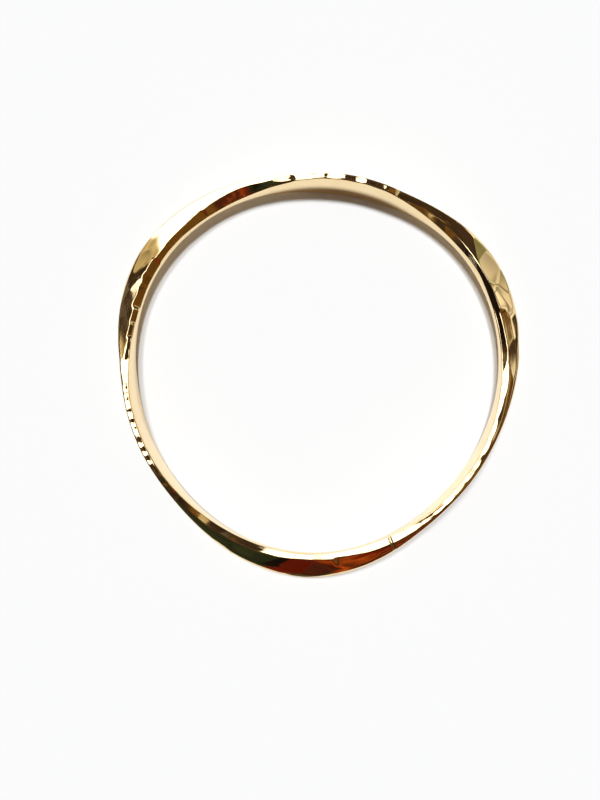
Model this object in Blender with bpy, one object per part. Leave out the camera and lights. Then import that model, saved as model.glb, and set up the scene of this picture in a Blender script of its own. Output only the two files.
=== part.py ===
"""Hand-forged bangle bracelet, in metres, +Z up, origin in the middle of the bore.

One round bar is closed into a ring on a mandrel and hammered by turns flat and on edge, so that three
wide blades and three upright stretches follow each other round the ring. Its two ends meet at a solder
seam. Hammering moves the metal of a section about but keeps the section's area, so the height at each
place follows from the width there. The blades' inner rims are then bevelled towards the bore. The last
light blows leave a row of dishes along the top crest and the outer edges of the blades, and the lowest
edges of the ring are levelled.
"""

import math
from collections import namedtuple

import bmesh
import bpy
from mathutils import Matrix

Blade = namedtuple("Blade", "width setback middle back ahead")
Finish = namedtuple("Finish", "colour metallic roughness")
Section = namedtuple(
    "Section",
    "crest_radius top_height under_height inner_reach inner_squareness outer_reach outer_squareness "
    "bevel_drop bevel_slope",
)

# Ring
BORE_RADIUS = 0.03175

# Upright stretches
EDGE_THICKNESS = 0.0013
EDGE_HEIGHT = 0.0065
EDGE_SQUARENESS = 8.0
REST_FLAT_DEPTH = 0.00005

# Blades: each one's width, how far it stands back from the bore, and in degrees round the ring
# its middle and its runs back and ahead of that
CREST_SETBACK = 0.00066
FACE_SQUARENESS = 1.15
INNER_SQUARENESS = 2.1
BEVEL_LEAN = math.radians(25.0)
BEVEL_DEPTH = 0.0002
BLADES = (
    Blade(width=0.0044, setback=0.00034, middle=28.5, back=64.5, ahead=42.0),
    Blade(width=0.00476, setback=0.00074, middle=144.5, back=63.0, ahead=49.5),
    Blade(width=0.0042, setback=0.00072, middle=267.0, back=54.0, ahead=49.5),
)

# Hammer marks: dishes one after another along the top crest, and longer ones along the outer edge
CREST_MARKS = 72
CREST_MARK_DEPTH = 0.00008
EDGE_MARKS = 36
EDGE_MARK_DEPTH = 0.0001
LIGHTEST_BLOW = 0.3

# Solder seam, with an end of the bar on either side of it
SEAM_ANGLE = math.radians(293.0)
SEAM_WIDTH = 0.0003
SEAM_CLEARANCE = 0.00002

# Facets
BAR_STEPS = 3 * CREST_MARKS
SEAM_STEPS = 1
SECTION_POINTS = 20
SHARP_ANGLE = math.radians(50.0)

# Finishes
POLISHED_GOLD = Finish(colour=(0.93, 0.74, 0.40), metallic=1.0, roughness=0.08)
GOLD_SOLDER = Finish(colour=(0.94, 0.80, 0.52), metallic=1.0, roughness=0.2)


def fill_share(squareness):
    """The share of its box that a superellipse of this exponent fills."""
    return math.gamma(1 + 1 / squareness) ** 2 / math.gamma(1 + 2 / squareness)


BAR_AREA = EDGE_THICKNESS * EDGE_HEIGHT * fill_share(EDGE_SQUARENESS)
WIRE_RADIUS = math.sqrt(BAR_AREA / math.pi)
WIRE_RING_RADIUS = BORE_RADIUS + WIRE_RADIUS
SEAM_SWEEP = SEAM_WIDTH / WIRE_RING_RADIUS
SEAM_GAP = SEAM_CLEARANCE / WIRE_RING_RADIUS


def blade_share(blade, angle):
    """How far this blade is hammered flat at this angle: 1 in its middle, 0 past its ends."""
    turn = (math.degrees(angle) - blade.middle + 180.0) % 360.0 - 180.0
    run = blade.ahead if turn > 0 else blade.back
    if abs(turn) > run:
        return 0.0
    return 0.5 + 0.5 * math.cos(math.pi * turn / run)


def mark_dish(angle, marks, depth):
    """How deep the hammer has dished the skin at this angle: 0 on the ridge between two marks."""
    place = (angle - SEAM_ANGLE) / math.tau * marks
    across = 2 * (place % 1.0) - 1
    force = LIGHTEST_BLOW + (1 - LIGHTEST_BLOW) * math.sin(math.floor(place)) ** 2
    return depth * force * (1 - across**2)


def section_at(angle):
    """The bar's section in the plane through the bore's axis at this angle."""
    shares = [blade_share(blade, angle) for blade in BLADES]
    share = min(1.0, sum(shares))
    spread = sum(part * (blade.width - EDGE_THICKNESS) for part, blade in zip(shares, BLADES))
    setback = sum(part * blade.setback for part, blade in zip(shares, BLADES))

    def between(edge_value, blade_value):
        return edge_value + (blade_value - edge_value) * share

    inner_reach = between(EDGE_THICKNESS / 2, CREST_SETBACK)
    outer_reach = EDGE_THICKNESS + spread - inner_reach
    inner_squareness = between(EDGE_SQUARENESS, INNER_SQUARENESS)
    outer_squareness = between(EDGE_SQUARENESS, FACE_SQUARENESS)
    filled_width = inner_reach * fill_share(inner_squareness) + outer_reach * fill_share(outer_squareness)
    half_height = BAR_AREA / filled_width / 2
    return Section(
        crest_radius=BORE_RADIUS + setback + inner_reach,
        top_height=half_height - mark_dish(angle, CREST_MARKS, CREST_MARK_DEPTH),
        under_height=half_height,
        inner_reach=inner_reach,
        inner_squareness=inner_squareness,
        outer_reach=outer_reach - share * mark_dish(angle, EDGE_MARKS, EDGE_MARK_DEPTH),
        outer_squareness=outer_squareness,
        bevel_drop=share * BEVEL_DEPTH,
        bevel_slope=share * math.tan(BEVEL_LEAN),
    )


def forged_point(angle, turn):
    """A point of the bar's skin, by its angle round the ring and its turn round the section."""
    section = section_at(angle)
    across, up = math.cos(turn), math.sin(turn)
    if across > 0:
        reach, squareness = section.outer_reach, section.outer_squareness
    else:
        reach, squareness = section.inner_reach, section.inner_squareness
    rise = section.top_height if up > 0 else section.under_height
    radius = section.crest_radius + math.copysign(reach * abs(across) ** (2 / squareness), across)
    bevel = rise - section.bevel_drop - (section.crest_radius - radius) * section.bevel_slope
    height = math.copysign(min(rise * abs(up) ** (2 / squareness), bevel), up)
    return radius * math.cos(angle), radius * math.sin(angle), height


def spin_wire(shape, start, sweep, steps):
    """Spins a round wire about the bore's axis and closes its two ends."""
    stand = Matrix.Rotation(math.pi / 2, 4, "X")
    place = Matrix.Rotation(start, 4, "Z") @ Matrix.Translation((WIRE_RING_RADIUS, 0, 0)) @ stand
    bmesh.ops.create_circle(shape, segments=SECTION_POINTS, radius=WIRE_RADIUS, matrix=place)
    bmesh.ops.spin(shape, geom=shape.verts[:] + shape.edges[:], axis=(0, 0, 1), angle=sweep, steps=steps)
    close_holes(shape)


def close_holes(shape):
    """Puts a flat face over every open edge loop."""
    bmesh.ops.holes_fill(shape, edges=[edge for edge in shape.edges if edge.is_boundary])


def hammer(shape):
    """Moves every point of the round wire to its place on the forged bar."""
    for corner in shape.verts:
        x, y, z = corner.co
        turn = math.atan2(z, math.hypot(x, y) - WIRE_RING_RADIUS)
        corner.co = forged_point(math.atan2(y, x), turn)


def level_underside(shape):
    """Takes a little off the lowest edges, so that the bangle lies flat."""
    bmesh.ops.bisect_plane(
        shape,
        geom=shape.verts[:] + shape.edges[:] + shape.faces[:],
        plane_co=(0, 0, REST_FLAT_DEPTH - EDGE_HEIGHT / 2),
        plane_no=(0, 0, -1),
        clear_outer=True,
    )
    close_holes(shape)


def metal(name, finish):
    """A polished metal of this finish."""
    material = bpy.data.materials.new(name)
    material.use_nodes = True
    shader = material.node_tree.nodes["Principled BSDF"]
    shader.inputs["Base Color"].default_value = (*finish.colour, 1.0)
    shader.inputs["Metallic"].default_value = finish.metallic
    shader.inputs["Roughness"].default_value = finish.roughness
    return material


def forge(name, start, sweep, steps, material):
    """One stretch of the ring, from a round wire to a hammered and levelled solid."""
    shape = bmesh.new()
    spin_wire(shape, start, sweep, steps)
    hammer(shape)
    level_underside(shape)
    bmesh.ops.recalc_face_normals(shape, faces=shape.faces[:])
    mesh = bpy.data.meshes.new(name)
    shape.to_mesh(mesh)
    shape.free()
    mesh.shade_smooth()
    mesh.set_sharp_from_angle(angle=SHARP_ANGLE)
    mesh.materials.append(material)
    piece = bpy.data.objects.new(name, mesh)
    bpy.context.scene.collection.objects.link(piece)
    return piece


def main():
    """Forges the bar from one side of the seam round to the other, and the seam between its ends."""
    for old in list(bpy.data.objects):
        bpy.data.objects.remove(old)
    bar_start = SEAM_ANGLE + SEAM_SWEEP / 2 + SEAM_GAP
    bar_sweep = math.tau - SEAM_SWEEP - 2 * SEAM_GAP
    forge("forged_bar", bar_start, bar_sweep, BAR_STEPS, metal("polished_gold", POLISHED_GOLD))
    seam_start = SEAM_ANGLE - SEAM_SWEEP / 2
    forge("solder_seam", seam_start, SEAM_SWEEP, SEAM_STEPS, metal("gold_solder", GOLD_SOLDER))


main()
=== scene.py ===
"""Looks of a hand-forged gold bangle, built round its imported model, in metres with +Z up.

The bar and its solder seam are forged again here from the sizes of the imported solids, with blades a little
narrower, so that they stay inside those, and with far more points, so that every hammer blow is in the mesh.
A light tent and a pale floor make the studio.
"""

import logging
import math
from dataclasses import dataclass, field
from enum import Enum
from typing import ClassVar

import bmesh
import bpy
import numpy as np
from mathutils import Matrix

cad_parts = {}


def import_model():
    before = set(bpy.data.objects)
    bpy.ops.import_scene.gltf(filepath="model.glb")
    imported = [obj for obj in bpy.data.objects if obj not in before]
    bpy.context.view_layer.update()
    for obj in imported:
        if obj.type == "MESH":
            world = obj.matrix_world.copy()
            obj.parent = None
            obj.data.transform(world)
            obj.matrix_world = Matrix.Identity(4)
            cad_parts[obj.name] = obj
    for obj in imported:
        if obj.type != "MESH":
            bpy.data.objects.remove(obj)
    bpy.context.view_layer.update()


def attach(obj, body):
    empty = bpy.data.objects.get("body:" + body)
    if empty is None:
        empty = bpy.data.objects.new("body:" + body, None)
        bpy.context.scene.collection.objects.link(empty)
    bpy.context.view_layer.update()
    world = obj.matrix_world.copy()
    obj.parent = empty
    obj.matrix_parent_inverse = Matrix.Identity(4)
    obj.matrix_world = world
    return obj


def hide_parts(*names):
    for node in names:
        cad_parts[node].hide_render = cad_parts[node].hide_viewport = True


LOG = logging.getLogger("bangle")
BODY = "root"
MM = 0.001

# Sockets of the Mix node when it mixes colours
MIX_SHARE, MIX_FIRST, MIX_SECOND = 0, 6, 7
MIX_COLOUR = 2

Colour = tuple[float, float, float]
Span = tuple[float, float]
Setting = float | str | bool | tuple[float, ...]


class Spot(Enum):
    """Where on the bar's section a hammer blow lands, in quarters of the way round from the outer edge."""

    EDGE = 0.0
    FACE = 0.5
    CREST = 1.0
    UNDER_CREST = 3.0
    UNDER_FACE = 3.5


class Quarter(Enum):
    """The quarters of the section in order, each with its side, out or in, and its half, up or down."""

    TOP_OUTER = (1.0, 1.0)
    TOP_INNER = (-1.0, 1.0)
    UNDER_INNER = (-1.0, -1.0)
    UNDER_OUTER = (1.0, -1.0)


def turn_from(middle: float, degrees: np.ndarray) -> np.ndarray:
    """The shorter way round the ring from one place to others, in degrees."""
    return (degrees - middle + 180.0) % 360.0 - 180.0


def fill_share(squareness: np.ndarray) -> np.ndarray:
    """The share of its box that a superellipse of this exponent fills."""
    gamma = np.vectorize(math.gamma)
    return gamma(1 + 1 / squareness) ** 2 / gamma(1 + 2 / squareness)


@dataclass(frozen=True)
class Blade:
    """One stretch of the bar that is hammered wide.

    Args:
        width: its greatest width across the ring.
        setback: how far its inside stands back from the bore there.
        middle: where that is, in degrees round the ring.
        back: how far the blade runs back from there, in degrees.
        ahead: how far it runs ahead, in degrees.
    """

    width: float
    setback: float
    middle: float
    back: float
    ahead: float

    def share(self, degrees: np.ndarray) -> np.ndarray:
        """How far the bar is hammered flat.

        Args:
            degrees: places round the ring.

        Returns:
            1 in the blade's middle, 0 past its ends and between the two elsewhere.
        """
        turn = turn_from(self.middle, degrees)
        run = np.where(turn > 0, self.ahead, self.back)
        return np.where(np.abs(turn) < run, 0.5 + 0.5 * np.cos(np.pi * turn / run), 0.0)


@dataclass
class ForgedShape:
    """The smooth form of the forged bar, before the last hammer blows.

    Args:
        bore_radius: the radius of the mandrel.
        edge_thickness: the wall of an upright stretch.
        edge_height: the height of an upright stretch.
        edge_squareness: the exponent of its section, which is a superellipse.
        rest_depth: how much is levelled off the lowest edges.
        crest_setback: how far a blade's crest stands from its inside.
        face_squareness: the exponent of a blade's section outside the crest.
        inner_squareness: the exponent inside the crest.
        bevel_lean: how far the bevel inside the crest leans, in degrees.
        bevel_depth: how far below the crest the bevel starts.
        polish_loss: how much the polish takes off all over.
        seam_place: where the bar's ends meet, in degrees round the ring.
        seam_width: how wide the solder is there.
        seam_clearance: the gap on either side of the solder.
        fine_steps: the steps in which a quarter of the section is measured.
        fine_ease: how close together those steps lie at the quarter's ends.
        blades: the stretches that are hammered wide.
    """

    bore_radius: float = 31.75 * MM
    edge_thickness: float = 1.3 * MM
    edge_height: float = 6.5 * MM
    edge_squareness: float = 8.0
    rest_depth: float = 0.05 * MM
    crest_setback: float = 0.66 * MM
    face_squareness: float = 1.15
    inner_squareness: float = 2.1
    bevel_lean: float = 25.0
    bevel_depth: float = 0.2 * MM
    polish_loss: float = 0.008 * MM
    seam_place: float = 293.0
    seam_width: float = 0.3 * MM
    seam_clearance: float = 0.02 * MM
    fine_steps: int = 96
    fine_ease: float = 2.5
    blades: tuple[Blade, ...] = (
        Blade(4.32 * MM, 0.34 * MM, 28.5, 64.5, 42.0),
        Blade(4.68 * MM, 0.74 * MM, 144.5, 63.0, 49.5),
        Blade(4.10 * MM, 0.72 * MM, 267.0, 54.0, 49.5),
    )

    @property
    def rest_plane(self) -> float:
        """The height of the surface that the bangle lies on."""
        return self.rest_depth - self.edge_height / 2

    @property
    def bar_area(self) -> float:
        """The area of the bar's section, which hammering doesn't change."""
        return float(self.edge_thickness * self.edge_height * fill_share(np.array(self.edge_squareness)))

    @property
    def wire_radius(self) -> float:
        """The radius of the round bar before it is forged."""
        return math.sqrt(self.bar_area / math.pi)

    @property
    def ring_radius(self) -> float:
        """The radius of the round bar's middle line on the mandrel."""
        return self.bore_radius + self.wire_radius

    @property
    def seam_angle(self) -> float:
        """Where the bar's ends meet, in radians round the ring."""
        return math.radians(self.seam_place)

    @property
    def seam_sweep(self) -> float:
        """How far round the ring the solder goes, in radians."""
        return self.seam_width / self.ring_radius

    @property
    def seam_gap(self) -> float:
        """How far round the ring each gap beside the solder goes, in radians."""
        return self.seam_clearance / self.ring_radius

    def _quarter(
        self, reach: np.ndarray, rise: np.ndarray, squareness: np.ndarray, marks: np.ndarray
    ) -> np.ndarray:
        """Even marks along a quarter of a superellipse, at each place round the ring.

        Args:
            reach: its half width at each place.
            rise: its half height at each place.
            squareness: its exponent at each place.
            marks: shares of its length, from the side to the crest.

        Returns:
            An array of places by marks by 2, with the distance from the crest's line and the height.
        """
        even = np.linspace(0.0, 1.0, self.fine_steps)
        eased = even**self.fine_ease / (even**self.fine_ease + (1 - even) ** self.fine_ease)
        power = 2 / squareness[:, None]
        across = reach[:, None] * np.cos(eased * np.pi / 2).clip(0) ** power
        up = rise[:, None] * np.sin(eased * np.pi / 2).clip(0) ** power
        steps = np.hypot(np.diff(across), np.diff(up))
        length = np.concatenate([np.zeros((len(reach), 1)), np.cumsum(steps, axis=1)], axis=1)
        length /= length[:, -1:]
        found = [
            np.stack([np.interp(marks, length[i], across[i]), np.interp(marks, length[i], up[i])], axis=1)
            for i in range(len(reach))
        ]
        return np.array(found)

    def grid(self, angles: np.ndarray, ways: np.ndarray) -> np.ndarray:
        """Points of the bar's skin.

        Args:
            angles: places round the ring, in radians.
            ways: places round the section, in quarters of the way from the outer edge.

        Returns:
            An array of angles by ways by 3.
        """
        degrees = np.degrees(angles)
        shares = np.array([blade.share(degrees) for blade in self.blades])
        share = np.minimum(1.0, shares.sum(axis=0))
        widths = np.array([blade.width for blade in self.blades])
        setbacks = np.array([blade.setback for blade in self.blades])
        spread = (shares * (widths - self.edge_thickness)[:, None]).sum(axis=0)
        setback = (shares * setbacks[:, None]).sum(axis=0)

        def between(edge_value: float, blade_value: float) -> np.ndarray:
            """A value of the section between an upright stretch and a blade."""
            return edge_value + (blade_value - edge_value) * share

        inner = between(self.edge_thickness / 2, self.crest_setback)
        outer = self.edge_thickness + spread - inner
        inner_square = between(self.edge_squareness, self.inner_squareness)
        outer_square = between(self.edge_squareness, self.face_squareness)
        rise = self.bar_area / (inner * fill_share(inner_square) + outer * fill_share(outer_square)) / 2
        crest = self.bore_radius + setback + inner
        slope = share * math.tan(math.radians(self.bevel_lean))

        points = np.zeros((len(angles), len(ways), 3))
        sides = {1.0: (outer, outer_square), -1.0: (inner, inner_square)}
        for first, quarter in enumerate(Quarter):
            side, half = quarter.value
            reach, square = sides[side]
            here = (ways >= first) & (ways < first + 1)
            marks = ways[here] - first
            if side != half:
                marks = 1 - marks
            section = self._quarter(reach, rise, square, marks)
            radius = crest[:, None] + side * section[..., 0]
            bevel = (rise - share * self.bevel_depth)[:, None] + side * section[..., 0] * slope[:, None]
            height = np.minimum(section[..., 1], bevel)
            points[:, here, 0] = radius * np.cos(angles)[:, None]
            points[:, here, 1] = radius * np.sin(angles)[:, None]
            points[:, here, 2] = height * half
        return points


@dataclass(frozen=True)
class Blow:
    """One blow of the hammer.

    Args:
        degrees: where it lands round the ring.
        way: where it lands round the section, in quarters of the way from the outer edge.
        depth: how deep it goes.
        face: the radius of the hammer's crowned face.
        lean_along: how far the hammer leans along the ring, in degrees.
        lean_across: how far it leans across the section, in degrees.
    """

    degrees: float
    way: float
    depth: float
    face: float
    lean_along: float
    lean_across: float


@dataclass(frozen=True)
class BlowRow:
    """A row of like blows at places picked one by one.

    Args:
        spot: where on the section they land.
        places: where each lands, in degrees round the ring.
        depth: how deep they go.
        face: the radius of the hammer's crowned face.
        tilt: how far the hammer leans across the section, in degrees, on the crest towards the bore.
        lean: the most that it leans any other way by chance, in degrees.
    """

    spot: Spot
    places: tuple[float, ...]
    depth: float
    face: float
    tilt: float = 0.0
    lean: float = 0.0
    depth_range: ClassVar[Span] = (0.75, 1.25)
    face_range: ClassVar[Span] = (0.85, 1.15)

    def _blow(self, place: float, way: float, chance: np.random.Generator) -> Blow:
        """One blow, a little unlike the others.

        Args:
            place: where it lands, in degrees round the ring.
            way: where it lands round the section.
            chance: where the unevenness comes from.

        Returns:
            The blow.
        """
        depth = self.depth * chance.uniform(*self.depth_range)
        face = self.face * chance.uniform(*self.face_range)
        lean_along = self.lean * chance.uniform(-1, 1)
        lean_across = self.tilt + self.lean * chance.uniform(-1, 1)
        return Blow(place, way, depth, face, lean_along, lean_across)

    def blows(self, chance: np.random.Generator) -> list[Blow]:
        """One blow for each place."""
        return [self._blow(place, self.spot.value, chance) for place in self.places]


@dataclass(frozen=True)
class BlowRun(BlowRow):
    """Like blows that follow each other along a stretch of the bar at uneven steps.

    Args:
        step: the step from one to the next, in degrees; places holds the stretch's two ends.
        wander: how far they stray round the section, in quarters of the way.
    """

    step: float = 5.0
    wander: float = 0.06
    stray: ClassVar[float] = 0.3
    depth_range: ClassVar[Span] = (0.5, 1.4)
    face_range: ClassVar[Span] = (0.7, 1.4)

    def blows(self, chance: np.random.Generator) -> list[Blow]:
        """The blows of the whole stretch.

        Args:
            chance: where the unevenness comes from.

        Returns:
            The blows in order along the bar.
        """
        first, last = self.places
        count = round((last - first) / self.step)
        even = first + (np.arange(count) + 0.5) * (last - first) / count
        return [
            self._blow(
                place + self.step * chance.uniform(-self.stray, self.stray),
                self.spot.value + chance.uniform(-self.wander, self.wander),
                chance,
            )
            for place in even
        ]


@dataclass(frozen=True)
class HammerWork:
    """All the light blows that finish the bar, from the heavy marks that show most to the even rows.

    Args:
        seed: what the unevenness of the blows starts from.
        rows: the blows in order.
    """

    seed: int = 7
    rows: tuple[BlowRow, ...] = (
        BlowRow(Spot.EDGE, (5.0,), 0.26 * MM, 31.0 * MM),
        BlowRow(Spot.EDGE, (301.5,), 0.2 * MM, 40.0 * MM),
        BlowRow(Spot.CREST, (354.0,), 0.05 * MM, 40.0 * MM, 4.0),
        BlowRow(Spot.CREST, (4.0, 9.0, 14.0, 20.0), 0.08 * MM, 30.0 * MM, 10.0, 1.0),
        BlowRow(Spot.CREST, (69.5, 76.8, 84.2, 91.8, 99.5), 0.15 * MM, 13.0 * MM),
        BlowRow(Spot.CREST, (107.0, 125.0), 0.16 * MM, 30.0 * MM, 14.0, 1.0),
        BlowRow(Spot.CREST, (112.0, 116.0, 120.0), 0.32 * MM, 24.0 * MM, 17.0, 1.0),
        BlowRow(Spot.CREST, (131.0, 136.0, 141.0), 0.06 * MM, 60.0 * MM, 4.0, 1.0),
        BlowRow(Spot.CREST, (147.0, 152.0, 157.0), 0.12 * MM, 60.0 * MM, 8.0, 1.0),
        BlowRow(Spot.CREST, (161.5,), 0.1 * MM, 60.0 * MM, 7.0, 1.0),
        BlowRow(Spot.CREST, (165.5,), 0.08 * MM, 60.0 * MM, 5.5, 1.0),
        BlowRow(Spot.CREST, (169.0,), 0.05 * MM, 50.0 * MM, 4.0, 1.0),
        BlowRow(Spot.CREST, (163.5,), 0.03 * MM, 60.0 * MM, -20.0),
        BlowRow(Spot.CREST, (167.5,), 0.05 * MM, 55.0 * MM, -20.0),
        BlowRow(Spot.CREST, (171.0,), 0.06 * MM, 45.0 * MM, -20.0),
        BlowRow(Spot.CREST, (174.8,), 0.05 * MM, 16.0 * MM, -8.0),
        BlowRow(Spot.CREST, (181.2,), 0.08 * MM, 24.0 * MM),
        BlowRow(Spot.CREST, (188.3, 190.8, 193.3, 195.8, 199.2, 201.3), 0.05 * MM, 6.5 * MM, 0.0, 1.0),
        BlowRow(Spot.CREST, (205.6, 208.2, 211.2, 215.0, 219.0, 224.0), 0.05 * MM, 6.5 * MM, 0.0, 1.0),
        BlowRow(Spot.CREST, (297.0, 301.5), 0.05 * MM, 50.0 * MM, 6.0),
        BlowRow(Spot.CREST, (305.5,), 0.05 * MM, 50.0 * MM, 9.0),
        BlowRow(Spot.CREST, (309.5,), 0.05 * MM, 50.0 * MM, 13.0),
        BlowRow(Spot.CREST, (313.5,), 0.05 * MM, 50.0 * MM, 16.0),
        BlowRow(Spot.CREST, (318.5, 322.3, 326.7, 332.5, 339.0, 347.0), 0.012 * MM, 26.0 * MM, 18.0, 1.5),
        BlowRun(Spot.FACE, (-7.0, 55.0), 0.085 * MM, 65.0 * MM, 0.0, 3.0, 4.4, 0.15),
        BlowRun(Spot.FACE, (145.0, 180.0), 0.05 * MM, 70.0 * MM, 0.0, 1.5, 6.0, 0.15),
        BlowRun(Spot.FACE, (232.0, 303.0), 0.055 * MM, 60.0 * MM, 0.0, 2.2, 3.8, 0.25),
        BlowRun(Spot.EDGE, (0.0, 360.0), 0.012 * MM, 60.0 * MM, 0.0, 1.0, 7.0),
        BlowRun(Spot.UNDER_CREST, (0.0, 360.0), 0.03 * MM, 22.0 * MM, 0.0, 1.5, 4.0),
        BlowRun(Spot.UNDER_FACE, (0.0, 360.0), 0.06 * MM, 50.0 * MM, 0.0, 2.2, 5.0, 0.2),
    )

    def blows(self) -> list[Blow]:
        """All the blows in order."""
        chance = np.random.default_rng(self.seed)
        return [blow for row in self.rows for blow in row.blows(chance)]


@dataclass
class Skin:
    """A grid of points on the bar's skin, which takes the hammer's blows.

    Args:
        points: an array of places along the bar by places round its section by 3.
        angles: the places along the bar, in radians round the ring.
        ways: the places round the section, in quarters of the way from the outer edge.
        reach: how far round its middle a blow can press the metal.
        facing: how squarely the skin has to face the hammer to be pressed, as a cosine.
    """

    points: np.ndarray
    angles: np.ndarray
    ways: np.ndarray
    reach: float = 6.0 * MM
    facing: float = 0.25
    normals: np.ndarray = field(init=False)
    smooth: np.ndarray = field(init=False)

    def __post_init__(self) -> None:
        """Finds the outward direction at every point."""
        along = np.gradient(self.points, axis=0)
        across = np.roll(self.points, -1, axis=1) - np.roll(self.points, 1, axis=1)
        normals = np.cross(along, across)
        self.normals = normals / np.linalg.norm(normals, axis=2, keepdims=True)
        middle = self.points.mean(axis=1, keepdims=True)
        if ((self.points - middle) * self.normals).sum() < 0:
            self.normals = -self.normals
        self.smooth = self.points.copy()

    @property
    def pressed(self) -> np.ndarray:
        """How deep every point lies under the smooth skin."""
        return ((self.smooth - self.points) * self.normals).sum(axis=2)

    def take(self, blow: Blow) -> None:
        """Presses the crowned face of the hammer into the skin.

        Args:
            blow: where the hammer lands, and how.
        """
        row = int(np.argmin(np.abs(turn_from(blow.degrees, np.degrees(self.angles)))))
        column = int(np.argmin(np.abs(self.ways - blow.way % len(Quarter))))
        last = len(self.angles) - 1
        centre, out = self.smooth[row, column], self.normals[row, column]
        along = self.smooth[min(row + 1, last), column] - self.smooth[max(row - 1, 0), column]
        step = np.linalg.norm(along) / 2
        along = along / np.linalg.norm(along)
        side = np.cross(out, along)
        lean_along = math.tan(math.radians(blow.lean_along))
        lean_across = math.tan(math.radians(blow.lean_across))
        lean = along * lean_along + side * lean_across
        aim = (out + lean) / np.linalg.norm(out + lean)
        span = int(self.reach / step) + 1
        rows = slice(max(row - span, 0), min(row + span + 1, last + 1))
        offset = self.points[rows] - centre
        height = offset @ aim
        away = np.maximum(0.0, (offset**2).sum(axis=2) - height**2)
        bottom = away / (2 * blow.face) - blow.depth
        near = (away < self.reach**2) & (self.normals[rows] @ aim > self.facing)
        push = np.where(near, np.maximum(0.0, height - bottom), 0.0)
        self.points[rows] -= push[..., None] * aim

    def polish(self, loss: float, rounds: int) -> None:
        """Softens the ridges between the blows and takes a little off all over.

        Args:
            loss: how much comes off.
            rounds: how many times the ridges are softened.
        """
        moved = self.points - self.smooth
        for _ in range(rounds):
            ahead, back = np.roll(moved, -1, axis=0), np.roll(moved, 1, axis=0)
            ahead[-1], back[0] = moved[-1], moved[0]
            moved = (2 * moved + ahead + back) / 4
            moved = (2 * moved + np.roll(moved, -1, axis=1) + np.roll(moved, 1, axis=1)) / 4
        self.points = self.smooth + moved - loss * self.normals


def put(
    tree: bpy.types.NodeTree, kind: str, inputs: dict[str | int, object] | None = None, **settings: Setting
) -> bpy.types.Node:
    """Adds a node to a material.

    Args:
        tree: the material's nodes.
        kind: the new node's type.
        inputs: what goes into its sockets, by name or number; another node's output is linked.
        settings: the node's own settings.

    Returns:
        The new node.
    """
    node = tree.nodes.new(kind)
    for name, value in settings.items():
        setattr(node, name, value)
    for key, value in (inputs or {}).items():
        if isinstance(value, bpy.types.NodeSocket):
            tree.links.new(value, node.inputs[key])
        else:
            node.inputs[key].default_value = value
    return node


def mix(
    tree: bpy.types.NodeTree, share: bpy.types.NodeSocket, first: Colour, second: Colour
) -> bpy.types.NodeSocket:
    """Adds a node that goes from one colour to another.

    Args:
        tree: the material's nodes.
        share: how far it goes at each point.
        first: the colour at a share of 0.
        second: the colour at a share of 1.

    Returns:
        The mixed colour.
    """
    inputs = {MIX_SHARE: share, MIX_FIRST: (*first, 1.0), MIX_SECOND: (*second, 1.0)}
    return put(tree, "ShaderNodeMix", inputs, data_type="RGBA").outputs[MIX_COLOUR]


def ramp(
    tree: bpy.types.NodeTree, value: bpy.types.NodeSocket, span: Span = (0.0, 1.0), ends: Span = (0.0, 1.0)
) -> bpy.types.NodeSocket:
    """Adds a node that goes from one level to another as a value crosses a span.

    Args:
        tree: the material's nodes.
        value: the value at each point.
        span: where it starts and ends.
        ends: the levels there.

    Returns:
        The level at each point.
    """
    inputs = {"Value": value, "From Min": span[0], "From Max": span[1], "To Min": ends[0], "To Max": ends[1]}
    return put(tree, "ShaderNodeMapRange", inputs).outputs[0]


@dataclass(frozen=True)
class Finish:
    """A metal finish that takes its colour, roughness and relief from nodes.

    Args:
        slot: the record's material slot.
        colour: the clean metal.
        dark_colour: the metal where it is dull, and the painted shade of dents and pinholes.
        roughness: the roughness of the clean metal and of the dull metal.
        relief: the height of its finest unevenness.
    """

    slot: str
    colour: Colour
    dark_colour: Colour
    roughness: Span
    relief: float

    def dullness_and_shade(self, tree: bpy.types.NodeTree) -> bpy.types.NodeSocket:
        """How dull the metal is at each point, with any painted shade, from 0 to 1."""
        raise NotImplementedError

    def grain(self, tree: bpy.types.NodeTree) -> bpy.types.NodeSocket:
        """The finest unevenness at each point, from 0 to 1."""
        raise NotImplementedError

    def material(self) -> bpy.types.Material:
        """Builds the finish.

        Returns:
            The finish as a material.
        """
        material = bpy.data.materials.new(self.slot)
        material.use_nodes = True
        tree = material.node_tree
        shader = tree.nodes["Principled BSDF"]
        shader.inputs["Metallic"].default_value = 1.0
        dullness_and_shade, grain = self.dullness_and_shade(tree), self.grain(tree)
        # The dark colour marks dullness and painted shade alike.
        tint = mix(tree, dullness_and_shade, self.colour, self.dark_colour)
        worn = put(tree, "ShaderNodeMath", {0: dullness_and_shade, 1: grain}, operation="MAXIMUM")
        rough = ramp(tree, worn.outputs[0], ends=self.roughness)
        bump = put(tree, "ShaderNodeBump", {"Strength": 1.0, "Distance": self.relief, "Height": grain})
        tree.links.new(tint, shader.inputs["Base Color"])
        tree.links.new(rough, shader.inputs["Roughness"])
        tree.links.new(bump.outputs[0], shader.inputs["Normal"])
        return material


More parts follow.
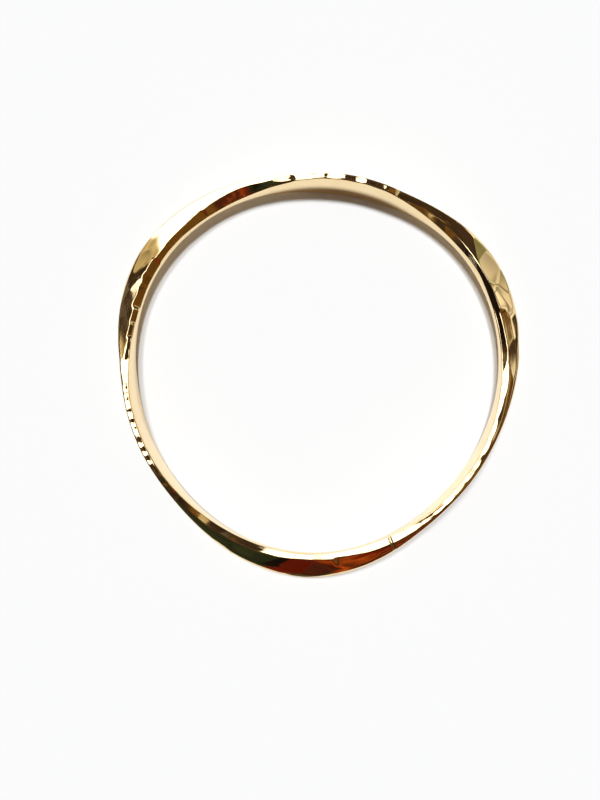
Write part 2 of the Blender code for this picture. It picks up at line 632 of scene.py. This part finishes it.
@dataclass(frozen=True)
class PolishedGold(Finish):
    """Mirror-polished gold with hairlines along the bar, and painted shade and duller metal deep in blows.

    Args:
        hairline: how close the hairlines lie, along the bar and across it.
        hairline_detail: how finely they break up.
        hairline_span: the levels of the noise between which they rise.
        cloud: how close the dull clouds lie, per metre.
        cloud_detail: how finely they break up.
        cloud_span: the levels of the noise between which they rise.
        cloud_most: how dull they get.
        deepest: the depth in millimetres at which a blow's painted shade and dullness are full.
        deep_most: how dark and dull it is there; the darkening is painted shade.
    """

    slot: str = "polished_gold"
    colour: Colour = (0.93, 0.73, 0.42)
    # The dark colour serves the random dull clouds and the painted shade in the dents.
    dark_colour: Colour = (0.86, 0.6, 0.27)
    roughness: Span = (0.025, 0.16)
    relief: float = 0.0012 * MM
    hairline: tuple[float, float, float] = (0.22, 26.0, 1.0)
    hairline_detail: float = 3.0
    hairline_span: Span = (0.52, 0.78)
    cloud: float = 170.0
    cloud_detail: float = 4.0
    cloud_span: Span = (0.5, 0.8)
    cloud_most: float = 0.45
    deepest: float = 0.3
    deep_most: float = 0.55

    def dullness_and_shade(self, tree: bpy.types.NodeTree) -> bpy.types.NodeSocket:
        """Clouds of dull metal, with painted shade and more dullness where the blows went deep.

        Args:
            tree: the material's nodes.

        Returns:
            How dull the metal is at each point, with the painted shade in the dents.
        """
        place = put(tree, "ShaderNodeTexCoord").outputs["Object"]
        look = {"Vector": place, "Scale": self.cloud, "Detail": self.cloud_detail}
        noise = put(tree, "ShaderNodeTexNoise", look)
        cloud = ramp(tree, noise.outputs[0], self.cloud_span, (0.0, self.cloud_most))
        # Painted shade in the dents: deeper blows get a darker colour, and a rougher surface too.
        deep = put(tree, "ShaderNodeAttribute", attribute_name="pressed").outputs["Fac"]
        dent_shade = ramp(tree, deep, (0.0, self.deepest), (0.0, self.deep_most))
        return put(tree, "ShaderNodeMath", {0: cloud, 1: dent_shade}, operation="ADD").outputs[0]

    def grain(self, tree: bpy.types.NodeTree) -> bpy.types.NodeSocket:
        """Hairlines left by the polishing wheel.

        Args:
            tree: the material's nodes.

        Returns:
            The height of the hairlines at each point.
        """
        lay = put(tree, "ShaderNodeAttribute", attribute_name="lay").outputs["Vector"]
        drawn = put(tree, "ShaderNodeMapping", {"Vector": lay, "Scale": self.hairline}).outputs[0]
        look = {"Vector": drawn, "Scale": 1.0, "Detail": self.hairline_detail}
        noise = put(tree, "ShaderNodeTexNoise", look)
        return ramp(tree, noise.outputs[0], self.hairline_span)


@dataclass(frozen=True)
class GoldSolder(Finish):
    """Paler gold solder, filed flush, with a few pinholes painted as dark spots of shade.

    Args:
        pinholes: how close the pinholes lie, per metre.
        pinhole_span: the distances from a pinhole's middle between which its painted shade fades in.
        file_marks: how close the file's marks lie, per metre.
        file_detail: how finely they break up.
    """

    slot: str = "gold_solder"
    colour: Colour = (0.94, 0.79, 0.5)
    # The dark colour is the painted shade of the pinholes.
    dark_colour: Colour = (0.6, 0.4, 0.18)
    roughness: Span = (0.1, 0.35)
    relief: float = 0.004 * MM
    pinholes: float = 5200.0
    pinhole_span: Span = (0.3, 0.1)
    file_marks: float = 9000.0
    file_detail: float = 2.0

    def dullness_and_shade(self, tree: bpy.types.NodeTree) -> bpy.types.NodeSocket:
        """Painted shade of pinholes, which the mesh does not have.

        Args:
            tree: the material's nodes.

        Returns:
            How dark the painted pinhole shade is at each point.
        """
        place = put(tree, "ShaderNodeTexCoord").outputs["Object"]
        # Painted shade: dark spots stand in for pinholes, and they make the metal rougher there too.
        cells = put(tree, "ShaderNodeTexVoronoi", {"Vector": place, "Scale": self.pinholes})
        return ramp(tree, cells.outputs["Distance"], self.pinhole_span)

    def grain(self, tree: bpy.types.NodeTree) -> bpy.types.NodeSocket:
        """The file's fine marks.

        Args:
            tree: the material's nodes.

        Returns:
            The height of the marks at each point.
        """
        place = put(tree, "ShaderNodeTexCoord").outputs["Object"]
        look = {"Vector": place, "Scale": self.file_marks, "Detail": self.file_detail}
        return put(tree, "ShaderNodeTexNoise", look).outputs[0]


@dataclass
class WireStretch:
    """A stretch of the ring, spun as round wire and then forged.

    Args:
        shape: the forged form.
        start: where it starts, in radians round the ring.
        sweep: how far it goes.
        spins: the steps of the spin.
        cuts: the cuts that divide each of those steps.
        outer_marks: the points on each outer quarter of the section.
        outer_crowding: how much closer together they lie at the edge and the crests.
        inner_marks: the points on each inner quarter.
        inner_crowding: the power by which they lie closer together at the crests.
    """

    shape: ForgedShape
    start: float
    sweep: float
    spins: int = 108
    cuts: int = 9
    outer_marks: int = 26
    outer_crowding: float = 0.5
    inner_marks: int = 20
    inner_crowding: float = 1.3
    name: ClassVar[str]
    node: ClassVar[str]

    @property
    def steps(self) -> int:
        """The steps along the finished stretch."""
        return self.spins * (self.cuts + 1)

    @property
    def angles(self) -> np.ndarray:
        """The places along the stretch, in radians round the ring."""
        return self.start + self.sweep * np.arange(self.steps + 1) / self.steps

    @property
    def ways(self) -> np.ndarray:
        """The places of the points round the section.

        Returns:
            Quarters of the way from the outer edge, close together at the edges and the crests.
        """
        even = np.arange(self.outer_marks) / self.outer_marks
        outer = even - self.outer_crowding * np.sin(math.tau * even) / math.tau
        inner = (np.arange(self.inner_marks) / self.inner_marks) ** self.inner_crowding
        back = np.flip(1 - np.append(inner[1:], 1.0))
        return np.concatenate([outer, 1 + inner, 2 + back, 3 + outer])

    def skin(self) -> Skin:
        """The smooth skin of the stretch."""
        return Skin(self.shape.grid(self.angles, self.ways), self.angles, self.ways)

    def spin(self) -> bpy.types.Mesh:
        """Spins the round wire and closes its ends.

        Returns:
            The wire as a closed mesh.
        """
        body = bmesh.new()
        stand = Matrix.Rotation(math.pi / 2, 4, "X")
        out = Matrix.Translation((self.shape.ring_radius, 0, 0))
        place = Matrix.Rotation(self.start, 4, "Z") @ out @ stand
        bmesh.ops.create_circle(body, segments=len(self.ways), radius=self.shape.wire_radius, matrix=place)
        wire = body.verts[:] + body.edges[:]
        bmesh.ops.spin(body, geom=wire, axis=(0, 0, 1), angle=self.sweep, steps=self.spins)
        lengthwise = [edge for edge in body.edges if self._lengthwise(edge)]
        bmesh.ops.subdivide_edges(body, edges=lengthwise, cuts=self.cuts, use_grid_fill=True)
        bmesh.ops.holes_fill(body, edges=[edge for edge in body.edges if edge.is_boundary])
        bmesh.ops.recalc_face_normals(body, faces=body.faces[:])
        mesh = bpy.data.meshes.new(self.name)
        body.to_mesh(mesh)
        body.free()
        return mesh

    def _lengthwise(self, edge: bmesh.types.BMEdge) -> bool:
        """Whether an edge of the wire runs along the ring."""
        near, far = (math.atan2(corner.co.y, corner.co.x) for corner in edge.verts)
        return abs((near - far + math.pi) % math.tau - math.pi) > self.sweep / self.spins / 2

    def places(self, mesh: bpy.types.Mesh) -> tuple[np.ndarray, np.ndarray]:
        """Where every point of the round wire is.

        Args:
            mesh: the wire.

        Returns:
            The step along the stretch and the mark round the section of each point.
        """
        wire = np.zeros(len(mesh.vertices) * 3)
        mesh.vertices.foreach_get("co", wire)
        x, y, z = wire.reshape(-1, 3).T
        turn = np.arctan2(z, np.hypot(x, y) - self.shape.ring_radius)
        columns = np.round(turn / math.tau * len(self.ways)).astype(int) % len(self.ways)
        half_step = self.sweep / self.steps / 2
        along = (np.arctan2(y, x) - self.start + half_step) % math.tau
        rows = np.floor(along / self.sweep * self.steps).astype(int).clip(0, self.steps)
        return rows, columns

    def forge(self, skin: Skin) -> bpy.types.Object:
        """Moves the wire's points to the skin and notes what the finishes read.

        Args:
            skin: the skin at the stretch's own places.

        Returns:
            The stretch as an object.
        """
        mesh = self.spin()
        rows, columns = self.places(mesh)
        skin.points[..., 2] = skin.points[..., 2].clip(self.shape.rest_plane)
        mesh.vertices.foreach_set("co", skin.points[rows, columns].ravel())
        pressed = mesh.attributes.new("pressed", "FLOAT", "POINT")
        pressed.data.foreach_set("value", (skin.pressed[rows, columns] / MM).astype(np.float32))
        lay = mesh.attributes.new("lay", "FLOAT_VECTOR", "POINT")
        along = self.shape.ring_radius * (skin.angles - self.start)[rows] / MM
        across = np.abs(self.ways - len(Quarter) / 2)[columns]
        vectors = np.stack([along, across, 0 * along], axis=1).astype(np.float32)
        lay.data.foreach_set("vector", vectors.ravel())
        mesh.update()
        mesh.shade_smooth()
        piece = bpy.data.objects.new(self.name, mesh)
        bpy.context.scene.collection.objects.link(piece)
        return piece

    def dress(self, piece: bpy.types.Object, finish: Finish) -> None:
        """Gives the stretch its finish and puts it in the place of its node.

        Args:
            piece: the stretch as an object.
            finish: its finish.
        """
        piece.data.materials.append(finish.material())
        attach(piece, BODY)
        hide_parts(self.node)
        LOG.info("%s: %d points", piece.name, len(piece.data.vertices))


@dataclass
class ForgedBar(WireStretch):
    """The bar, forged to shape and planished from one end round to the other.

    Args:
        end_drop: how far its two ends are drawn in.
        polish_rounds: how many times its ridges are softened.
    """

    end_drop: float = 0.015 * MM
    polish_rounds: int = 1
    name: ClassVar[str] = "forged_bar_planished"
    node: ClassVar[str] = "forged_bar"

    def build(self, work: HammerWork) -> bpy.types.Object:
        """Forges and planishes the bar.

        Args:
            work: the hammer blows.

        Returns:
            The bar as an object.
        """
        skin = self.skin()
        for blow in work.blows():
            skin.take(blow)
        skin.polish(self.shape.polish_loss, self.polish_rounds)
        for end in (0, -1):
            skin.points[end] -= self.end_drop * skin.normals[end]
        return self.forge(skin)


@dataclass
class SolderSeam(WireStretch):
    """The wafer of solder between the bar's ends, drawn in a little like a meniscus.

    Args:
        edge_sink: how far its rims are drawn in.
        middle_sink: how far its middle is drawn in.
    """

    spins: int = 2
    cuts: int = 4
    edge_sink: float = 0.012 * MM
    middle_sink: float = 0.03 * MM
    name: ClassVar[str] = "solder_seam_filed"
    node: ClassVar[str] = "solder_seam"

    def build(self) -> bpy.types.Object:
        """Makes the wafer.

        Returns:
            The seam as an object.
        """
        skin = self.skin()
        across = np.linspace(-1, 1, self.steps + 1)
        sink = self.edge_sink + (self.middle_sink - self.edge_sink) * (1 - across**2)
        skin.points -= sink[:, None, None] * skin.normals
        return self.forge(skin)


class Glow(Enum):
    """The light that a patch of the tent gives."""

    WINDOW = (3.0, 3.0, 3.0)
    GLINT = (1.2, 1.15, 1.0)
    CREAM = (0.85, 0.8, 0.68)
    TAN = (0.5, 0.45, 0.36)
    STRAW = (0.6, 0.5, 0.3)
    OLIVE = (0.3, 0.3, 0.16)
    GREY_BROWN = (0.15, 0.125, 0.1)
    BROWN = (0.14, 0.07, 0.016)
    DARK_BROWN = (0.045, 0.028, 0.018)
    BLACK = (0.012, 0.008, 0.008)
    GREEN = (0.026, 0.034, 0.02)
    RED = (0.14, 0.014, 0.006)
    MOSS = (0.07, 0.065, 0.03)
    RUST = (0.26, 0.045, 0.008)
    ORANGE = (0.5, 0.1, 0.014)
    MAROON = (0.07, 0.018, 0.012)


@dataclass(frozen=True)
class Ripple:
    """The way in which a panel's edge wanders: a slow wave and a quick one.

    Args:
        slow: the slow wave's degrees to a radian, along the edge and across it.
        quick: the quick wave's.
        quick_share: how high the quick wave is beside the slow one.
    """

    slow: Span
    quick: Span
    quick_share: float = 0.6

    def height(self, along: np.ndarray, across: np.ndarray, shift: float) -> np.ndarray:
        """How far the edge strays.

        Args:
            along: the directions' degrees along the edge.
            across: their degrees across it.
            shift: where the quick wave starts, in radians.

        Returns:
            The height of the two waves together.
        """
        slow = np.sin(along / self.slow[0] + across / self.slow[1])
        quick = np.sin(along / self.quick[0] - across / self.quick[1] + shift)
        return slow + self.quick_share * quick


@dataclass(frozen=True)
class Panel:
    """A patch of the light tent.

    Args:
        azimuth: the first and last degree it covers round the ring.
        elevation: the lowest and highest degree it covers.
        glow: the light it gives.
        soft: how wide its edges fade, in degrees.
        ragged: how far its edges wander, in degrees.
    """

    azimuth: Span
    elevation: Span
    glow: Glow
    soft: float = 2.0
    ragged: float = 0.0
    upright_edges: ClassVar[Ripple] = Ripple((2.9, 5.3), (1.3, 2.1))
    level_edges: ClassVar[Ripple] = Ripple((2.7, 6.1), (1.4, 2.3))

    def _inside(self, value: np.ndarray, low: float, high: float) -> np.ndarray:
        """How far values lie between two limits.

        Args:
            value: the values.
            low: the lower limit.
            high: the upper limit.

        Returns:
            1 between the limits, fading out round them.
        """
        share = np.minimum(value - low, high - value) / self.soft + 0.5
        eased = share.clip(0.0, 1.0)
        return eased * eased * (3 - 2 * eased)

    def share(self, azimuth: np.ndarray, elevation: np.ndarray) -> np.ndarray:
        """How much of the panel shows in each direction.

        Args:
            azimuth: the directions' degrees round the ring.
            elevation: their degrees above the floor.

        Returns:
            1 inside the panel, 0 outside and between the two on its edges.
        """
        middle = sum(self.azimuth) / 2
        half = (self.azimuth[1] - self.azimuth[0]) / 2
        turn = turn_from(middle, azimuth)
        sideways = self.ragged * self.upright_edges.height(elevation, turn, middle)
        upwards = self.ragged * self.level_edges.height(turn, elevation, middle)
        return self._inside(turn + sideways, -half, half) * self._inside(elevation + upwards, *self.elevation)


@dataclass(frozen=True)
class Sun:
    """A far lamp.

    Args:
        name: its name.
        azimuth: where it stands, in degrees round the ring.
        elevation: how high it stands, in degrees.
        share: how much of the floor's light it gives.
        spread: how wide it looks from the floor, in degrees.
        colour: the tint of its light.
    """

    name: str
    azimuth: float
    elevation: float
    share: float
    spread: float = 8.0
    colour: Colour = (0.98, 1.03, 1.06)

    def build(self, floor_white: float) -> bpy.types.Object:
        """Sets the lamp up.

        Args:
            floor_white: how much light the floor sends back.

        Returns:
            The lamp.
        """
        data = bpy.data.lights.new(self.name, "SUN")
        data.angle = math.radians(self.spread)
        data.energy = self.share * math.pi / floor_white / math.sin(math.radians(self.elevation))
        data.color = self.colour
        lamp = bpy.data.objects.new(self.name, data)
        turn = Matrix.Rotation(math.radians(self.azimuth), 4, "Z")
        lamp.matrix_world = turn @ Matrix.Rotation(math.radians(90.0 - self.elevation), 4, "Y")
        lamp.visible_glossy = False
        bpy.context.scene.collection.objects.link(lamp)
        return lamp


@dataclass(frozen=True)
class Viewpoint:
    """The camera, which looks down on the ring.

    Args:
        place: where it stands.
        lean: how far it is turned about X and Y from looking straight down, in degrees.
        lens: its focal length, in millimetres.
        sensor: the width of its sensor, in millimetres.
        nearest: how near it can see.
    """

    place: tuple[float, float, float] = (2.56 * MM, -15.37 * MM, 103.7 * MM)
    lean: Span = (4.889, 2.724)
    lens: float = 27.05
    sensor: float = 36.0
    nearest: float = 1.0 * MM

    def build(self) -> bpy.types.Object:
        """Sets the camera up.

        Returns:
            The camera.
        """
        data = bpy.data.cameras.new("camera")
        data.sensor_width = self.sensor
        data.lens = self.lens
        data.clip_start = self.nearest
        camera = bpy.data.objects.new("camera", data)
        camera.location = self.place
        camera.rotation_euler = (math.radians(self.lean[0]), math.radians(self.lean[1]), 0.0)
        bpy.context.scene.collection.objects.link(camera)
        bpy.context.scene.camera = camera
        return camera


@dataclass
class Studio:
    """Camera, floor, light tent and lamps.

    Args:
        floor_height: the height of the surface that the bangle lies on.
        view: the camera.
        floor_white: how much light the floor sends back.
        floor_radius: how far the floor goes.
        floor_sides: the sides of its outline.
        floor_gap: how far under the bangle it lies.
        dim_light: the light that the surround gives to the floor.
        pale_light: the surround as it looks.
        tent_radius: the radius of the tent.
        tent_detail: how often its faces are divided.
        tent_folds: how much its folds change the light.
        fold_waves: the radians to a radius of each fold, along X, Y and Z.
        suns: the lamps.
        panels: the patches of the tent, each over the ones before it.
    """

    floor_height: float
    view: Viewpoint = Viewpoint()
    floor_white: float = 0.8
    floor_radius: float = 3.0
    floor_sides: int = 96
    floor_gap: float = 0.01 * MM
    dim_light: Colour = (0.18, 0.13, 0.1)
    pale_light: Colour = (0.97, 0.97, 0.97)
    tent_radius: float = 0.6
    tent_detail: int = 8
    tent_folds: float = 0.5
    fold_waves: tuple[tuple[float, float, float], ...] = (
        (31.0, 0.0, 17.0),
        (0.0, 27.0, -21.0),
        (22.0, 22.0, 36.0),
    )
    suns: tuple[Sun, ...] = (Sun("key", 76.0, 78.0, 0.5), Sun("side", 122.0, 73.0, 0.34))
    panels: tuple[Panel, ...] = (
        Panel((302.0, 372.0), (-10.0, 84.0), Glow.BROWN, 8.0),
        Panel((160.0, 236.0), (74.5, 86.0), Glow.BROWN, 2.0),
        Panel((-25.0, 10.0), (79.5, 84.0), Glow.STRAW, 2.0),
        Panel((22.0, 46.0), (52.5, 66.0), Glow.BROWN, 2.0),
        Panel((34.0, 44.0), (65.0, 71.5), Glow.TAN, 2.0),
        Panel((48.0, 84.0), (72.0, 82.0), Glow.GREY_BROWN, 4.0),
        Panel((8.0, 17.0), (-10.0, 47.0), Glow.TAN, 1.5, 0.2),
        Panel((17.0, 21.0), (-10.0, 57.0), Glow.DARK_BROWN, 1.5, 0.2),
        Panel((21.0, 27.0), (-10.0, 51.0), Glow.CREAM, 1.0, 0.2),
        Panel((28.0, 30.4), (-10.0, 57.0), Glow.CREAM, 0.8, 0.2),
        Panel((30.4, 32.4), (-10.0, 57.0), Glow.OLIVE, 0.8, 0.2),
        Panel((32.4, 37.4), (-10.0, 57.0), Glow.CREAM, 0.8, 0.2),
        Panel((37.4, 41.0), (-10.0, 50.0), Glow.OLIVE, 1.0, 0.3),
        Panel((41.0, 47.0), (-10.0, 26.0), Glow.GLINT, 1.0, 0.4),
        Panel((84.0, 137.0), (-10.0, 76.0), Glow.WINDOW, 3.0),
        Panel((60.0, 101.0), (69.0, 78.0), Glow.BROWN, 2.0),
        Panel((137.0, 142.0), (-10.0, 56.0), Glow.STRAW, 1.5, 0.2),
        Panel((148.5, 157.0), (10.0, 56.0), Glow.GREY_BROWN, 2.0, 0.3),
        Panel((164.0, 222.0), (-10.0, 65.0), Glow.BLACK, 3.0),
        Panel((131.0, 180.5), (62.0, 82.0), Glow.WINDOW, 3.0),
        Panel((226.0, 272.0), (-5.0, 74.0), Glow.GREEN, 4.0, 0.6),
        Panel((253.0, 262.0), (24.0, 62.0), Glow.BLACK, 3.0, 1.0),
        Panel((254.0, 262.0), (-5.0, 22.0), Glow.RED, 2.0, 1.0),
        Panel((260.0, 266.0), (17.0, 38.0), Glow.RED, 2.0, 1.2),
        Panel((262.5, 273.0), (-5.0, 18.0), Glow.MOSS, 2.0, 1.0),
        Panel((266.0, 273.0), (20.0, 40.0), Glow.MAROON, 2.0, 1.0),
        Panel((267.5, 277.0), (36.0, 74.0), Glow.RED, 2.0, 1.0),
        Panel((273.0, 281.0), (-5.0, 62.0), Glow.RUST, 2.0, 0.8),
        Panel((276.0, 278.5), (-5.0, 66.0), Glow.ORANGE, 2.0, 0.8),
        Panel((281.0, 303.0), (-5.0, 74.0), Glow.MAROON, 2.0, 0.8),
        Panel((288.5, 290.5), (10.0, 60.0), Glow.ORANGE, 1.0, 0.4),
    )

    def build(self) -> None:
        """Sets the whole studio up."""
        self.view.build()
        self.floor()
        self.tent()
        for sun in self.suns:
            sun.build(self.floor_white)
        self.backdrop()
        bpy.context.scene.view_settings.view_transform = "Standard"
        LOG.info("studio: %d panels, %d lamps", len(self.panels), len(self.suns))

    def floor(self) -> bpy.types.Object:
        """Lays a wide sheet of white paper.

        Returns:
            The floor.
        """
        body = bmesh.new()
        under = Matrix.Translation((0, 0, self.floor_height - self.floor_gap))
        bmesh.ops.create_circle(
            body, cap_ends=True, segments=self.floor_sides, radius=self.floor_radius, matrix=under
        )
        mesh = bpy.data.meshes.new("floor")
        body.to_mesh(mesh)
        body.free()
        material = bpy.data.materials.new("white_paper")
        material.use_nodes = True
        shader = material.node_tree.nodes["Principled BSDF"]
        white = self.floor_white
        shader.inputs["Base Color"].default_value = (white, white, white, 1.0)
        shader.inputs["Roughness"].default_value = 1.0
        shader.inputs["Specular IOR Level"].default_value = 0.0
        mesh.materials.append(material)
        floor = bpy.data.objects.new("floor", mesh)
        bpy.context.scene.collection.objects.link(floor)
        return floor

    def tent_light(self, directions: np.ndarray) -> np.ndarray:
        """The light that the tent gives from each direction.

        Args:
            directions: an array of directions by 3, each of length 1.

        Returns:
            An array of directions by 3, with the light's red, green and blue.
        """
        x, y, z = directions.T
        azimuth = np.degrees(np.arctan2(y, x))
        elevation = np.degrees(np.arcsin(z.clip(-1, 1)))
        light = np.tile(np.array(Glow.DARK_BROWN.value), (len(directions), 1))
        for panel in self.panels:
            share = panel.share(azimuth, elevation)[:, None]
            light = light * (1 - share) + np.array(panel.glow.value) * share
        folds = np.sin(directions @ np.array(self.fold_waves).T).mean(axis=1, keepdims=True)
        return light * (1 + self.tent_folds * folds)

    def tent_cloth(self) -> bpy.types.Material:
        """The tent's cloth, which glows as its points say.

        Returns:
            The cloth as a material.
        """
        material = bpy.data.materials.new("tent_cloth")
        material.use_nodes = True
        material.cycles.emission_sampling = "NONE"
        tree = material.node_tree
        tree.nodes.remove(tree.nodes["Principled BSDF"])
        read = put(tree, "ShaderNodeAttribute", attribute_name="glow")
        light = put(tree, "ShaderNodeEmission", {"Color": read.outputs["Color"]})
        tree.links.new(light.outputs[0], tree.nodes["Material Output"].inputs["Surface"])
        return material

    def tent(self) -> bpy.types.Object:
        """Puts up a dome round the ring, with its panels, which is seen only in the metal.

        Returns:
            The tent.
        """
        body = bmesh.new()
        bmesh.ops.create_icosphere(body, subdivisions=self.tent_detail, radius=self.tent_radius)
        mesh = bpy.data.meshes.new("light_tent")
        body.to_mesh(mesh)
        body.free()
        points = np.zeros(len(mesh.vertices) * 3)
        mesh.vertices.foreach_get("co", points)
        light = self.tent_light(points.reshape(-1, 3) / self.tent_radius)
        glow = mesh.attributes.new("glow", "FLOAT_COLOR", "POINT")
        glow.data.foreach_set("color", np.hstack([light, np.ones((len(light), 1))]).ravel())
        mesh.materials.append(self.tent_cloth())
        tent = bpy.data.objects.new("light_tent", mesh)
        tent.visible_camera = False
        tent.visible_shadow = False
        tent.visible_diffuse = False
        bpy.context.scene.collection.objects.link(tent)
        return tent

    def backdrop(self) -> None:
        """Puts a plain pale surround behind everything, which lights the floor only dimly."""
        world = bpy.data.worlds.new("surround")
        world.use_nodes = True
        tree = world.node_tree
        path = put(tree, "ShaderNodeLightPath")
        seen = path.outputs["Is Camera Ray"]
        for ray in ("Is Glossy Ray", "Is Transmission Ray"):
            either = put(tree, "ShaderNodeMath", {0: seen, 1: path.outputs[ray]}, operation="MAXIMUM")
            seen = either.outputs[0]
        shade = mix(tree, seen, self.dim_light, self.pale_light)
        tree.links.new(shade, tree.nodes["Background"].inputs["Color"])
        bpy.context.scene.world = world


def main() -> None:
    """Builds the bangle and its studio."""
    logging.basicConfig(level=logging.INFO, format="%(message)s")
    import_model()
    shape = ForgedShape()
    bar_start = shape.seam_angle + shape.seam_sweep / 2 + shape.seam_gap
    bar = ForgedBar(shape, bar_start, math.tau - shape.seam_sweep - 2 * shape.seam_gap)
    bar.dress(bar.build(HammerWork()), PolishedGold())
    seam = SolderSeam(shape, shape.seam_angle - shape.seam_sweep / 2, shape.seam_sweep)
    seam.dress(seam.build(), GoldSolder())
    Studio(shape.rest_plane).build()


if __name__ == "__main__":
    main()
